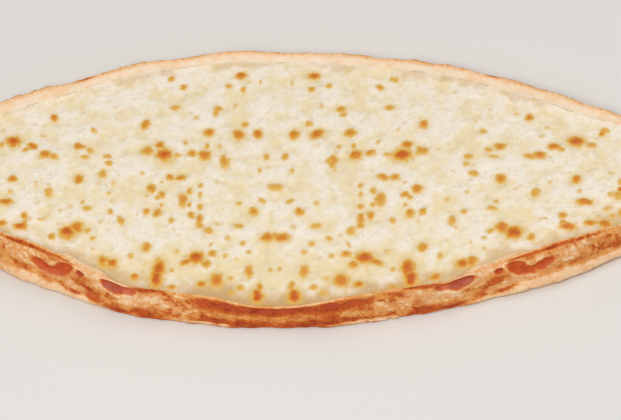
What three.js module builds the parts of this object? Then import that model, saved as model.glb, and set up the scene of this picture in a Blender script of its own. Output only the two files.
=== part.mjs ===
// A boat-shaped flatbread: one piece of dough with folded rims and pinched tips, filled with a
// layer of melted cheese that has browned in blisters.
// Millimetres. +X runs along the bread, +Y to the far rim, +Z up. It lies on its flat underside at
// z = 0, and the origin is the middle of its length and width there.

import * as THREE from "three";

// Driving dimensions
const LEFT_LENGTH = 211; // from the widest place to the left tip
const RIGHT_LENGTH = 243; // the right half is drawn out a little further
const HALF_WIDTH = 77; // from the centre line to the outer lip, at the widest place
const TIP_WIDTH = 6; // half the breadth of the pinched dough just before a tip
const FLOOR = 4.5; // dough under the cheese
const CHEESE_LEVEL = 9.8; // cheese surface beside a rim
const CHEESE_CROWN = 1.4; // how much higher the cheese is along the middle
const CHEESE_END = 0.835; // share of a half's length at which the cheese runs out
const GAP = 0.35; // between the cheese and the dough
const TIP_END = 0.994; // share of a half's length at which its last section stands
const STRAY = 1.6; // how far the lip strays from an even boat shape
const CRAG = 0.45; // height of the uneven browned crust

const WIDEST_X = (LEFT_LENGTH - RIGHT_LENGTH) / 2;

// What differs between the near rim, at -Y, and the far rim
const NEAR = {
  sign: -1,
  shoulderWidening: 0.5,
  endWidening: -3.2,
  middleHeight: 12.2,
  shoulderRise: 3.6,
  endRise: 4.6,
  endFall: 5,
  foldWidth: 8.6,
  endFoldWidth: 15,
  endCrestShare: 0.36,
  phase: 0.4,
  strayPhase: 3.4,
};
const FAR = {
  sign: 1,
  shoulderWidening: 2.4,
  endWidening: 1,
  middleHeight: 14,
  shoulderRise: 1.2,
  endRise: 0.5,
  endFall: 2,
  foldWidth: 8.8,
  endFoldWidth: 8.8,
  endCrestShare: 0.5,
  phase: 2.3,
  strayPhase: 1.7,
};

// Blisters on the outside of a rim: how far along a half as a share of its length, how far up the
// outer face, length and breadth in mm, and height, which is negative where the bubble has sunk.
const BLISTERS = [
  { along: 0.49, up: 0.52, length: 24, breadth: 7, rise: -1.7 },
  { along: 0.345, up: 0.84, length: 20, breadth: 5, rise: -1.5 },
  { along: 0.08, up: 0.76, length: 44, breadth: 4, rise: -1.1 },
  { along: 0.42, up: 0.3, length: 16, breadth: 6, rise: 0.9 },
  { along: 0.56, up: 0.75, length: 18, breadth: 8, rise: 1.1 },
  { along: 0.29, up: 0.4, length: 22, breadth: 7, rise: 0.9 },
  { along: 0.17, up: 0.35, length: 18, breadth: 6, rise: 0.8 },
  { along: 0.68, up: 0.5, length: 20, breadth: 9, rise: 1.3 },
  { along: 0.79, up: 0.62, length: 14, breadth: 7, rise: -1.2 },
];

// Browned bubbles in the cheese: share of a half's length, share of the cheese's half width
// (positive to the far rim), length and breadth in mm. Each half of the bread carries them.
const BUBBLES = [
  { along: 0.46, across: -0.4, length: 15, breadth: 8 },
  { along: 0.26, across: -0.86, length: 7, breadth: 14 },
  { along: 0.245, across: 0.42, length: 13, breadth: 9 },
  { along: 0.18, across: -0.68, length: 13, breadth: 7 },
  { along: 0.0, across: -0.36, length: 11, breadth: 6 },
  { along: 0.04, across: -0.86, length: 7, breadth: 7 },
  { along: 0.075, across: 0.72, length: 9, breadth: 7 },
  { along: 0.135, across: -0.86, length: 8, breadth: 7 },
  { along: 0.185, across: 0.0, length: 9, breadth: 14 },
  { along: 0.265, across: 0.04, length: 8, breadth: 13 },
  { along: 0.52, across: 0.64, length: 12, breadth: 8 },
  { along: 0.37, across: 0.28, length: 9, breadth: 7 },
  { along: 0.57, across: -0.4, length: 15, breadth: 9 },
  { along: 0.6, across: 0.5, length: 10, breadth: 8 },
  { along: 0.7, across: 0.1, length: 11, breadth: 9 },
];
const BUBBLE_RISE = 0.8;

const HALF_STATIONS = 42; // sections from the widest place to each tip
const FACE_STEPS = 12; // points up the outer face to the crest
const WALL_STEPS = 3; // points from the crest down to the cheese
const BED_STEPS = 3; // points from there down to the floor
const FLOOR_STEPS = 2; // points across each half of the floor
const CHEESE_STEPS = 22; // points across the top of the cheese

// 0 before low, 1 after high, and an even ease between them
function ease(low, high, value) {
  const t = THREE.MathUtils.clamp((value - low) / (high - low), 0, 1);
  return t * t * (3 - 2 * t);
}

// A smooth uneven line between about -1 and 1
function wander(value, phase) {
  return (
    0.5 * Math.sin(0.047 * value + phase) +
    0.3 * Math.sin(0.113 * value + 2.1 * phase) +
    0.2 * Math.sin(0.26 * value + 3.7 * phase)
  );
}

// 1 in the middle of an oval of that size, falling to 0 at its edge
function oval(dx, dy, length, breadth) {
  const r2 = (2 * dx / length) ** 2 + (2 * dy / breadth) ** 2;
  return r2 < 1 ? (1 - r2) ** 2 : 0;
}

const halfLength = (x) => (x < WIDEST_X ? LEFT_LENGTH : RIGHT_LENGTH);
const shareOf = (x) => Math.abs(x - WIDEST_X) / halfLength(x);

// Distance of a rim's outer lip from the centre line
function lipAt(u, side) {
  const boat = HALF_WIDTH * Math.cos((u * Math.PI) / 2) ** (1 + 0.3 * ease(0.65, 1, u));
  const widening = side.shoulderWidening * ease(0.12, 0.33, u) + side.endWidening * ease(0.56, 0.7, u);
  const tip = TIP_WIDTH ** 2 * (1 - u ** 8) * ease(0.6, 0.9, u);
  return Math.sqrt((boat + widening * (1 - ease(0.8, 1, u))) ** 2 + tip);
}

// Where the hand-folded lip strays from that line
function strayAt(x, side) {
  const u = shareOf(x);
  return STRAY * wander(0.5 * x, side.strayPhase) * ease(0, 0.12, u) * (1 - ease(0.8, 1, u));
}

// The places of one rim at x: lip, crest, inner wall and heights
function rimAt(x, side) {
  const u = shareOf(x);
  const lip = lipAt(u, side) + strayAt(x, side);
  const uneven = wander(x, side.phase) * (1 - ease(0.8, 1, u));
  const fold = side.foldWidth + (side.endFoldWidth - side.foldWidth) * ease(0.38, 0.56, u);
  const closing = Math.sqrt(1 - Math.min(1, Math.max(0, u - 0.62) / (CHEESE_END - 0.62)) ** 2);
  const inner = Math.max(0.1 * lip, (lip - fold) * closing);
  const crestShare =
    0.52 + (side.endCrestShare - 0.52) * ease(0.36, 0.52, u) * (1 - ease(0.58, 0.72, u)) - 0.2 * ease(0.8, 0.95, u);
  const crest = inner + (lip - inner) * crestShare + 0.5 * uneven;
  const height =
    side.middleHeight +
    side.shoulderRise * ease(0, 0.17, u) +
    side.endRise * ease(0.4, 0.56, u) -
    side.endFall * ease(0.56, 0.72, u) -
    5 * ease(0.86, 1.02, u) -
    4 * ease(0.965, 1, u) +
    0.8 * uneven;
  const lift = 1.6 + 2.6 * ease(0.3, 0.55, u) - 1.2 * ease(0.9, 1, u);
  const foot = Math.max(0.5 * inner, inner - 5);
  const floor = FLOOR + (height - 0.8 - FLOOR) * ease(CHEESE_END - 0.02, CHEESE_END + 0.03, u);
  return { u, lip, crest, inner, foot, height, lift, floor };
}

// How much the outer face stands out at x and at a share of the way from lip to crest
function reliefAt(x, up, rim) {
  const fade = Math.min(1, rim.lip / 20) * Math.sin(Math.PI * Math.min(1, Math.max(0, up)));
  let relief = CRAG * (wander(4.1 * x, 9 * up) + wander(7.3 * x + 31 * up, 1.3));
  for (const b of BLISTERS) {
    const dx = (rim.u - b.along) * halfLength(x);
    relief += b.rise * oval(dx, (up - b.up) * rim.height, b.length, b.breadth);
  }
  return relief * fade;
}

// One rim's outline as [y, z] points, from its contact edge over the crest to the floor's middle
function rimOutline(x, side) {
  const rim = rimAt(x, side);
  const { lip, crest, height, lift } = rim;
  const narrow = Math.min(1, lip / 18);
  const foot = lip - 5.5 * narrow;
  const rise = height - lift;
  const face = new THREE.SplineCurve([
    new THREE.Vector2(foot, 0),
    new THREE.Vector2(lip - 1.2 * narrow, 0.35 * lift),
    new THREE.Vector2(lip, lift),
    new THREE.Vector2(lip - 0.3 * (lip - crest), lift + 0.45 * rise),
    new THREE.Vector2(crest + 0.3 * (lip - crest), lift + 0.88 * rise),
    new THREE.Vector2(crest, height),
  ]);
  const points = [];
  for (let i = 0; i <= FACE_STEPS; i++) {
    const t = i / FACE_STEPS;
    const p = face.getPoint(t);
    const tangent = face.getTangent(t);
    const out = reliefAt(x, (t - 0.3) / 0.7, rim);
    points.push([p.x + tangent.y * out, Math.max(0, p.y - tangent.x * out)]);
  }
  points.push(...wallOutline(rim), ...bedOutline(rim));
  return points.map(([y, z]) => [side.sign * y, z]);
}

// The inner wall from the crest down to the cheese's edge
function wallOutline({ crest, inner, height, floor }) {
  const level = Math.max(floor, CHEESE_LEVEL);
  return Array.from({ length: WALL_STEPS }, (_, i) => {
    const t = (i + 1) / WALL_STEPS;
    return [crest + (inner - crest) * t ** 0.8, level + (height - level) * (1 - t) ** 1.5];
  });
}

// The bed of the cheese: down from its edge, then across half of the floor
function bedOutline({ inner, foot, floor }) {
  const level = Math.max(floor, CHEESE_LEVEL);
  const points = [];
  for (let i = 1; i <= BED_STEPS; i++) {
    const t = i / BED_STEPS;
    points.push([inner + (foot - inner) * t ** 1.4, floor + (level - floor) * (1 - t) ** 1.4]);
  }
  for (let i = 1; i <= FLOOR_STEPS; i++) points.push([foot * (1 - i / FLOOR_STEPS), floor]);
  return points;
}

// Where the sections stand, from left to right, closer together towards the tips
function stations() {
  const steps = (length, direction) =>
    Array.from({ length: HALF_STATIONS }, (_, i) => {
      const t = (i + 1) / HALF_STATIONS;
      return WIDEST_X + direction * length * TIP_END * (0.6 * t + 0.4 * Math.sin((t * Math.PI) / 2));
    });
  return [...steps(LEFT_LENGTH, -1).reverse(), WIDEST_X, ...steps(RIGHT_LENGTH, 1)];
}

// Skins rings of equally many points, in order along X, and closes both ends with a fan
function loft(rings) {
  const count = rings[0].length;
  const positions = rings.flat(2);
  const index = [];
  for (let i = 0; i + 1 < rings.length; i++) {
    for (let j = 0; j < count; j++) {
      const a = i * count + j;
      const b = i * count + ((j + 1) % count);
      index.push(a, b, a + count, b, b + count, a + count);
    }
  }
  for (const [ring, outward] of [[0, false], [rings.length - 1, true]]) {
    const middle = positions.length / 3;
    const sum = rings[ring].reduce((s, p) => s.map((v, k) => v + p[k]), [0, 0, 0]);
    positions.push(...sum.map((v) => v / count));
    for (let j = 0; j < count; j++) {
      const a = ring * count + j;
      const b = ring * count + ((j + 1) % count);
      index.push(...(outward ? [a, b, middle] : [b, a, middle]));
    }
  }
  const geometry = new THREE.BufferGeometry();
  geometry.setAttribute("position", new THREE.Float32BufferAttribute(positions, 3));
  geometry.setIndex(index);
  geometry.computeVertexNormals();
  return geometry;
}

// One section of the dough: the far rim, then back over the near rim
function doughRing(x) {
  const far = rimOutline(x, FAR);
  const near = rimOutline(x, NEAR).reverse();
  return [...far, ...near.slice(1)].map(([y, z]) => [x, y, z]);
}

// Height of the cheese's top
function cheeseTop(x, across) {
  const u = shareOf(x);
  const middle = 1 - across ** 2;
  let z = CHEESE_LEVEL + 2 * GAP + CHEESE_CROWN * middle * (1 - 0.7 * ease(0.5, 0.8, u));
  z += (0.3 * wander(3.1 * x, 5 * across) + 0.25 * wander(5.3 * x + 40 * across, 0.7)) * Math.sqrt(middle);
  const halfWidth = rimAt(x, FAR).inner;
  for (const b of BUBBLES) {
    const dx = (u - b.along) * halfLength(x);
    z += BUBBLE_RISE * oval(dx, (across - b.across) * halfWidth, b.length, b.breadth);
  }
  return z;
}

// One section of the cheese: its top from the near to the far edge, then its underside on the dough
function cheeseRing(x) {
  const rims = [NEAR, FAR].map((side) => ({ side, rim: rimAt(x, side) }));
  const edges = rims.map(({ rim }) => rim.inner - GAP);
  const top = [];
  for (let i = 0; i <= CHEESE_STEPS; i++) {
    const even = (2 * i) / CHEESE_STEPS - 1;
    const across = 0.7 * even + 0.3 * Math.sin((even * Math.PI) / 2);
    top.push([x, across * edges[across < 0 ? 0 : 1], cheeseTop(x, across)]);
  }
  const [near, far] = rims.map(({ side, rim }) =>
    [[rim.inner, CHEESE_LEVEL], ...bedOutline(rim)].map(([y, z]) => [x, side.sign * Math.max(0, y - GAP), z + GAP]),
  );
  return [...top, ...far, ...near.reverse().slice(1)].reverse();
}

function piece(name, geometry, material) {
  const mesh = new THREE.Mesh(geometry, new THREE.MeshStandardMaterial(material));
  mesh.name = name;
  return mesh;
}

const places = stations();
const filled = places.filter((x) => shareOf(x) < CHEESE_END - 0.012);

const bread = new THREE.Group();
bread.name = "pide";
bread.add(
  piece("crust", loft(places.map(doughRing)), { color: 0xd79a5b, roughness: 0.75, metalness: 0 }),
  piece("cheese", loft(filled.map(cheeseRing)), { color: 0xeddfc8, roughness: 0.5, metalness: 0 }),
);

// Puts the origin under the middle of the bread's length and width
const middle = new THREE.Box3().setFromObject(bread).getCenter(new THREE.Vector3());
for (const mesh of bread.children) mesh.geometry.translate(-middle.x, -middle.y, 0);

export default bread;
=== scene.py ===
# %% [markdown]
# A cheese pide: a long flatbread, folded up along both sides and pinched at the ends, with a layer of
# melted cheese that has browned in bubbles. The dough and the cheese are two pieces. Both could be
# sculpted by hand, but bread is uneven in a way that formulas and noise give well, so each piece starts
# as a flat grid that is folded round into its shape, and then gets its lumps, blisters and colours.

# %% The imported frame
import math
import random

import bmesh
import bpy
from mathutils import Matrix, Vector, noise


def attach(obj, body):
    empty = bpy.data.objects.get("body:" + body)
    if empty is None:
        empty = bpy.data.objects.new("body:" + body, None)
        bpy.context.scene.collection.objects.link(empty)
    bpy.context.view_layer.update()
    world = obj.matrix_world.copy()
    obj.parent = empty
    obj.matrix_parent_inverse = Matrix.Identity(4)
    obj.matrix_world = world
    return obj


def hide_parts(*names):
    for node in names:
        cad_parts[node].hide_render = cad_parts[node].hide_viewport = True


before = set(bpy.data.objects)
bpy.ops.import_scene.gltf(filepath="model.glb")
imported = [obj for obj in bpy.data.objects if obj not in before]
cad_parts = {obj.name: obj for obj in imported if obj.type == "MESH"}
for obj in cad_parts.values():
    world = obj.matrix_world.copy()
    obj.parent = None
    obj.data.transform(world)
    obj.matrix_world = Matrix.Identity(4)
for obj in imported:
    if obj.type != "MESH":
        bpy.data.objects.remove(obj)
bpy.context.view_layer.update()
random.seed(7)
print("CAD pieces:", sorted(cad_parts))

# %% [markdown]
# The shape of a pide comes from a few sizes, in millimetres: how long each half is, how wide the middle
# is, and how the two folded rims differ. A share of 0 is the widest place and 1 is a tip, so the same
# formulas shape both halves, although the right one is longer. A name that ends in START or END holds
# such a share.

# %% The bread's sizes, in millimetres
MM = 0.001
LEFT_LENGTH = 211
RIGHT_LENGTH = 243
WIDEST_X = (LEFT_LENGTH - RIGHT_LENGTH) / 2
HALF_WIDTH = 77
TIP_WIDTH = 6
FLOOR = 4.5
OUTLINE_WANDER = 1.6
CREST_WANDER = 0.8
CLOSING_START = 0.62
CHEESE_END = 0.835
NOSE_START = 0.965
TIP_END = 0.994

# the cheese's levels, how far it climbs the dough at its edge, and how far it runs into the dough
CHEESE_LEVEL = 9.8
CHEESE_BOTTOM = FLOOR + 0.6
CHEESE_TOP = CHEESE_LEVEL + 0.7
CHEESE_CROWN = 1.4
CHEESE_TIP_LEVEL = CHEESE_LEVEL - 1
WALL_END_LEVEL = CHEESE_LEVEL - 0.6
MENISCUS = 0.9
EDGE_LEVEL = CHEESE_LEVEL + 0.8 + MENISCUS
CLING = 1.0

NEAR = {
    "sign": -1, "shoulder_widening": 0.5, "end_widening": -3.2, "middle_height": 12.2,
    "shoulder_rise": 3.6, "end_rise": 4.6, "end_fall": 5, "fold": 8.6, "end_fold": 15,
    "end_crest": 0.36, "phase": 0.4, "stray_phase": 3.4, "roll": 1.1, "flap": 1,
}
FAR = {
    "sign": 1, "shoulder_widening": 2.4, "end_widening": 1, "middle_height": 14,
    "shoulder_rise": 1.2, "end_rise": 0.5, "end_fall": 2, "fold": 8.8, "end_fold": 8.8,
    "end_crest": 0.5, "phase": 2.3, "stray_phase": 1.7, "roll": 0, "flap": 0,
}
print("length", (LEFT_LENGTH + RIGHT_LENGTH) * TIP_END, "mm, width", 2 * HALF_WIDTH, "mm")


# %% Helpers that the formulas share
def clamped(value):
    return min(1, max(0, value))


def ease(low, high, value):
    """0 before low, 1 after high, and an even ease between them."""
    t = clamped((value - low) / (high - low))
    return t * t * (3 - 2 * t)


def between(a, b, c, d, value):
    """0 before a, 1 from b to c, and 0 again after d."""
    return ease(a, b, value) * (1 - ease(c, d, value))


def before_tip(u):
    """1 along the bread, and down to 0 at a tip."""
    return 1 - ease(0.8, 1, u)


def wander(value, phase):
    """A smooth uneven line between about -1 and 1."""
    return (0.5 * math.sin(0.047 * value + phase)
            + 0.3 * math.sin(0.113 * value + 2.1 * phase)
            + 0.2 * math.sin(0.26 * value + 3.7 * phase))


def half_length(x):
    return LEFT_LENGTH if x < WIDEST_X else RIGHT_LENGTH


def share_of(x):
    """0 at the widest place and 1 at the tip."""
    return abs(x - WIDEST_X) / half_length(x)


def lumps(place, size, octaves=3):
    """Uneven value around 0, with bumps about that many millimetres across."""
    return noise.fractal(place / size, 0.9, 2.1, octaves)


print("share at the tips:", share_of(WIDEST_X - LEFT_LENGTH), share_of(WIDEST_X + RIGHT_LENGTH))


# %% [markdown]
# A rim is a fold of dough. Its section has an outer lip, a crest and an inner wall that goes down to the
# cheese. These three places and their heights change along the bread: the near fold is narrow in the
# middle and broad at the shoulders, where more of its browned face shows.

# %% A rim's height, and the level of the dough between the rims
def height_at(x, side):
    """The crest's height, which rises to the shoulders and falls again towards the tip."""
    u = share_of(x)
    return (side["middle_height"] + side["shoulder_rise"] * ease(0, 0.17, u)
            + side["end_rise"] * ease(0.4, 0.56, u) - side["end_fall"] * ease(0.56, 0.72, u)
            - 5 * ease(0.86, 1.02, u) - 4 * ease(NOSE_START, 1, u)
            + CREST_WANDER * wander(x, side["phase"]) * before_tip(u))


def floor_at(x):
    """Flat under the cheese, then up to the crease where the two rims are pinched together."""
    crease = min(height_at(x, NEAR), height_at(x, FAR)) - 0.8
    return FLOOR + (crease - FLOOR) * ease(CHEESE_END - 0.03, CHEESE_END + 0.08, share_of(x))


print("floor in the middle:", round(floor_at(WIDEST_X), 1))
print("floor near the left tip:", round(floor_at(WIDEST_X - 0.9 * LEFT_LENGTH), 1))


# %% The places of one rim
# how far out the crest lies on the rim, from its inner edge at 0 to its lip at 1
CREST_SHARE = 0.52


def rim_at(x, side):
    """A rim's distances from the centre line, its heights, and how far it folds over the cheese."""
    u = share_of(x)
    boat = HALF_WIDTH * max(0, math.cos(u * math.pi / 2)) ** (1 + 0.3 * ease(0.65, 1, u))
    widening = side["shoulder_widening"] * ease(0.12, 0.33, u) + side["end_widening"] * ease(0.56, 0.7, u)
    tip = TIP_WIDTH ** 2 * (1 - u ** 8) * ease(0.6, 0.9, u)
    stray = OUTLINE_WANDER * wander(0.5 * x, side["stray_phase"]) * ease(0, 0.12, u) * before_tip(u)
    lip = math.sqrt((boat + widening * before_tip(u)) ** 2 + max(0, tip)) + stray

    fold = side["fold"] + (side["end_fold"] - side["fold"]) * ease(0.38, 0.56, u)
    closing = math.sqrt(1 - clamped((u - CLOSING_START) / (CHEESE_END - CLOSING_START)) ** 2)
    flap = side["flap"] * between(0.32, 0.39, 0.45, 0.52, u)
    inner = max(0.1 * lip, (lip - fold) * closing) - 5 * flap

    uneven = 0.5 * wander(x, side["phase"]) * before_tip(u)
    crest_share = CREST_SHARE - 0.2 * ease(0.8, 0.95, u)
    crest_share += (side["end_crest"] - CREST_SHARE) * between(0.36, 0.52, 0.58, 0.72, u)
    rolled = side["roll"] * between(0.04, 0.14, 0.5, 0.62, u)
    return {
        "lip": lip, "inner": inner, "flap": flap, "floor": floor_at(x),
        "crest": inner + (lip - inner) * crest_share + uneven - rolled + 1.2 * flap,
        "height": height_at(x, side) + rolled,
        "lift": 1.6 + 2.6 * ease(0.3, 0.55, u) - 1.2 * ease(0.9, 1, u),
    }


middle_rim = rim_at(WIDEST_X, NEAR)
print("near rim in the middle: lip", round(middle_rim["lip"], 1), "crest", round(middle_rim["crest"], 1))


# %% One rim's section as points
BASE_STEPS = 14
FACE_STEPS = 44
WALL_STEPS = 14
BED_STEPS = 5
HALF_RING = BASE_STEPS + FACE_STEPS + WALL_STEPS + BED_STEPS


def through(points, t):
    """A point at share t of a smooth line through the points, as a Catmull-Rom spline."""
    place = t * (len(points) - 1)
    i = min(int(place), len(points) - 2)
    w = place - i
    p = [Vector(points[max(0, min(len(points) - 1, i + k))]) for k in (-1, 0, 1, 2)]
    v1 = (p[2] - p[0]) / 2
    v2 = (p[3] - p[1]) / 2
    return ((2 * p[1] - 2 * p[2] + v1 + v2) * w ** 3
            + (-3 * p[1] + 3 * p[2] - 2 * v1 - v2) * w ** 2 + v1 * w + p[1])


def wall_at(rim, t):
    """(y, z) of the inner wall, from the crest at 0 down to the cheese's edge at 1."""
    level = max(rim["floor"], WALL_END_LEVEL)
    drop = (1 - rim["flap"]) * (1 - t) ** 1.5 + rim["flap"] * (1 - t ** 3)
    y = rim["crest"] + (rim["inner"] - rim["crest"]) * t ** 0.8
    return y, level + (rim["height"] - level) * drop


def half_section(rim):
    """(y, z, zone, t) from the middle of the underside round the rim to the middle of the floor."""
    lip, crest, inner = rim["lip"], rim["crest"], rim["inner"]
    height, lift, floor = rim["height"], rim["lift"], rim["floor"]
    narrow = min(1, lip / 18)
    rise = height - lift
    under = lip - 5.5 * narrow
    outline = [(under, 0), (lip - 1.2 * narrow, 0.35 * lift), (lip, lift),
               (lip - 0.3 * (lip - crest), lift + 0.45 * rise),
               (crest + 0.3 * (lip - crest), lift + 0.88 * rise), (crest, height)]
    points = [(under * i / BASE_STEPS, 0, "base", 0) for i in range(BASE_STEPS)]
    for i in range(FACE_STEPS + 1):
        t = i / FACE_STEPS
        y, z = through(outline, t)
        points.append((y, max(0, z), "face", t))
    for i in range(1, WALL_STEPS + 1):
        t = i / WALL_STEPS
        points.append((*wall_at(rim, t), "wall", t))
    foot = 0.2 * max(0.5 * inner, inner - 5)
    step = max(floor, WALL_END_LEVEL) - floor
    for i in range(1, BED_STEPS):
        t = i / BED_STEPS
        points.append((inner * (1 - t) + foot * t, floor + step * (1 - t) ** 2, "bed", t))
    points.append((0, floor, "bed", 1))
    return points


print("points round one section:", 2 * HALF_RING)


# %% [markdown]
# A flat grid is the easiest start for a long uneven body: one direction of the grid runs along the
# bread, and the other wraps round the section until its two edges meet underneath. Welding them and
# the two ends gives one closed skin with even faces, which takes fine lumps better than a sphere or
# a cube with many cuts would.

# %% A grid folded round into a closed body
# distances in millimetres: nearer vertices become one, and shorter edges go
WELD = 0.002
TOO_SHORT = 0.001


def stations(steps, end):
    """Places along X, closer together towards both ends."""
    places = []
    for i in range(-steps, steps + 1):
        t = abs(i) / steps
        length = (LEFT_LENGTH if i < 0 else RIGHT_LENGTH) * end
        places.append(WIDEST_X + math.copysign(length * (0.7 * t + 0.3 * math.sin(t * math.pi / 2)), i))
    return places


def new_layers(bm, *names):
    """Float values on the vertices, which the mesh keeps as attributes."""
    return {name: bm.verts.layers.float.new(name) for name in names}


def folded_grid(sections):
    """A bmesh grid with one row of vertices for each section, and its two long edges welded."""
    rows, columns = len(sections), len(sections[0])
    bm = bmesh.new()
    bmesh.ops.create_grid(bm, x_segments=rows - 1, y_segments=columns - 1, size=1)
    layers = new_layers(bm, "row", "column")
    for vert in bm.verts:
        i = round((vert.co.x + 1) / 2 * (rows - 1))
        k = round((vert.co.y + 1) / 2 * (columns - 1))
        vert[layers["row"]] = i
        vert[layers["column"]] = k
        vert.co = sections[i][k]
    bmesh.ops.remove_doubles(bm, verts=bm.verts, dist=WELD)
    bmesh.ops.dissolve_degenerate(bm, dist=TOO_SHORT, edges=bm.edges)
    bmesh.ops.recalc_face_normals(bm, faces=bm.faces)
    bm.normal_update()
    return bm


def move_out(bm, distance):
    """Moves each vertex along its normal by what distance(vert) gives."""
    moved = [(vert, vert.co + vert.normal * distance(vert)) for vert in bm.verts]
    for vert, place in moved:
        vert.co = place
    bm.normal_update()


def finish_piece(bm, name, shift):
    """Turns a bmesh in millimetres into a smooth object in metres."""
    bmesh.ops.translate(bm, vec=shift, verts=bm.verts)
    bmesh.ops.scale(bm, vec=(MM, MM, MM), verts=bm.verts)
    mesh = bpy.data.meshes.new(name)
    bm.to_mesh(mesh)
    bm.free()
    mesh.shade_smooth()
    piece = bpy.data.objects.new(name, mesh)
    bpy.context.scene.collection.objects.link(piece)
    return piece


print("grid helpers ready")

# %% [markdown]
# The browned outside of a rim carries marks of several kinds: sunken blisters with a dark glossy skin,
# small glazed spots, scorched bands, pale floury places and crumbly patches. Each is an oval that is
# placed by its share of the half's length and by how far up the face it is, so both halves carry it.

# %% Marks on the near rim's face
# kind: along, up the face, length, breadth, turn in degrees, strength
NEAR_MARKS = [
    ("blister", 0.512, 0.515, 12.5, 3.2, 9, 0.72),
    ("blister", 0.468, 0.605, 11.5, 4.4, -29, 0.74),
    ("blister", 0.488, 0.505, 7.5, 2.8, -8, 0.66),
    ("blister", 0.430, 0.69, 3.8, 2.6, -10, 1.0),
    ("blister", 0.357, 0.71, 12.5, 5.0, 4, 0.98),
    ("blister", 0.325, 0.70, 8.5, 3.4, 4, 0.72),
    ("blister", 0.705, 0.64, 10, 3.2, 15, 0.62),
    ("glaze", 0.018, 0.68, 9.0, 2.8, 0, 0.94),
    ("glaze", 0.062, 0.69, 6.5, 2.6, -4, 0.88),
    ("glaze", 0.108, 0.68, 8.5, 3.4, -8, 0.94),
    ("glaze", 0.152, 0.66, 7.0, 2.8, -10, 0.78),
    ("band", 0.295, 0.82, 13, 3.2, 0, 0.7),
    ("band", 0.268, 0.90, 13, 3.4, 0, 0.85),
    ("band", 0.000, 0.69, 34, 5.2, 0, 1.0),
    ("band", 0.052, 0.69, 18, 5.0, -4, 1.0),
    ("band", 0.095, 0.63, 20, 4.6, -3, 0.92),
    ("band", 0.150, 0.63, 20, 4.2, 0, 0.75),
    ("band", 0.000, 0.20, 12, 2.6, 0, 0.45),
    ("band", 0.055, 0.22, 30, 4.0, 0, 0.85),
    ("band", 0.130, 0.24, 28, 3.6, 0, 0.9),
    ("band", 0.232, 0.60, 9, 3.4, 20, 0.5),
    ("band", 0.215, 0.30, 16, 2.0, 0, 0.35),
    ("band", 0.290, 0.22, 17, 4.0, 4, 0.85),
    ("band", 0.345, 0.19, 20, 2.4, 0, 0.85),
    ("band", 0.425, 0.28, 18, 2.8, 0, 0.85),
    ("band", 0.418, 0.46, 13, 6.0, 10, 0.55),
    ("band", 0.553, 0.88, 12, 2.2, 0, 0.8),
    ("band", 0.493, 0.94, 12, 2.0, 0, 0.8),
    ("band", 0.603, 0.96, 20, 2.4, 0, 0.8),
    ("band", 0.560, 0.36, 16, 2.4, 8, 0.4),
    ("band", 0.555, 0.82, 34, 2.4, 0, 0.8),
    ("band", 0.460, 0.86, 22, 1.8, 0, 0.7),
    ("band", 0.650, 0.44, 18, 3.0, -14, 0.45),
    ("band", 0.740, 0.86, 26, 3.4, 0, 0.7),
    ("pale", 0.315, 0.52, 22, 6.0, 0, 0.8),
    ("pale", 0.262, 0.56, 12, 5.0, 20, 0.6),
    ("pale", 0.220, 0.44, 14, 5.0, 0, 0.45),
    ("pale", 0.383, 0.60, 16, 3.4, -12, 0.6),
    ("pale", 0.410, 0.84, 19, 5.0, 0, 0.85),
    ("pale", 0.350, 0.93, 17, 2.6, 0, 0.85),
    ("pale", 0.450, 0.38, 22, 3.0, 8, 0.7),
    ("pale", 0.498, 0.66, 9, 2.6, 10, 0.55),
    ("pale", 0.165, 0.16, 30, 1.6, 0, 1.0),
    ("pale", 0.115, 0.16, 8, 1.6, 0, 0.9),
    ("pale", 0.575, 0.62, 20, 5.0, 10, 0.45),
    ("crumb", 0.215, 0.50, 34, 15, 0, 1.0),
    ("crumb", 0.590, 0.60, 44, 13, 0, 0.9),
    ("crumb", 0.400, 0.50, 34, 9, 0, 0.5),
    ("crumb", 0.320, 0.50, 24, 7, 0, 0.6),
    ("crumb", 0.120, 0.30, 30, 6, 0, 0.3),
]

# %% Marks on the far rim's face, which turns to the back
FAR_MARKS = [
    ("band", 0.425, 0.97, 9, 3.0, 0, 0.9),
    ("band", 0.180, 0.92, 30, 2.6, 0, 0.45),
    ("band", 0.060, 0.50, 36, 5.0, 0, 0.6),
    ("blister", 0.300, 0.66, 15, 3.6, 10, 0.7),
    ("blister", 0.530, 0.58, 12, 3.4, -15, 0.75),
    ("blister", 0.560, 0.66, 7, 2.4, 20, 0.7),
    ("band", 0.620, 0.70, 24, 5.0, 0, 0.6),
    ("band", 0.380, 0.25, 30, 4.0, 0, 0.6),
    ("pale", 0.240, 0.35, 26, 6.0, 0, 0.6),
    ("pale", 0.460, 0.40, 20, 5.0, 0, 0.6),
    ("pale", 0.100, 0.75, 30, 3.0, 0, 0.5),
    ("crumb", 0.220, 0.60, 40, 12, 0, 0.8),
    ("crumb", 0.560, 0.50, 40, 12, 0, 0.8),
    ("crumb", 0.020, 0.40, 40, 8, 0, 0.5),
]
print("marks:", len(NEAR_MARKS), "near,", len(FAR_MARKS), "far")


# %% How strongly a place lies in an oval mark
# kind: how ragged its outline is, how deep it sinks in millimetres, and 1 if its edge is raised
SKIN_MARKS = {"blister": (0.2, 1.3, 1), "glaze": (0.5, 0.5, 0)}
EDGE_RISE = 0.45


def in_oval(dx, dy, length, breadth, turn):
    """0 in the middle of the oval, 1 at its edge, more outside it."""
    c, s = math.cos(math.radians(turn)), math.sin(math.radians(turn))
    return math.hypot(2 * (dx * c + dy * s) / length, 2 * (dy * c - dx * s) / breadth)


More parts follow.
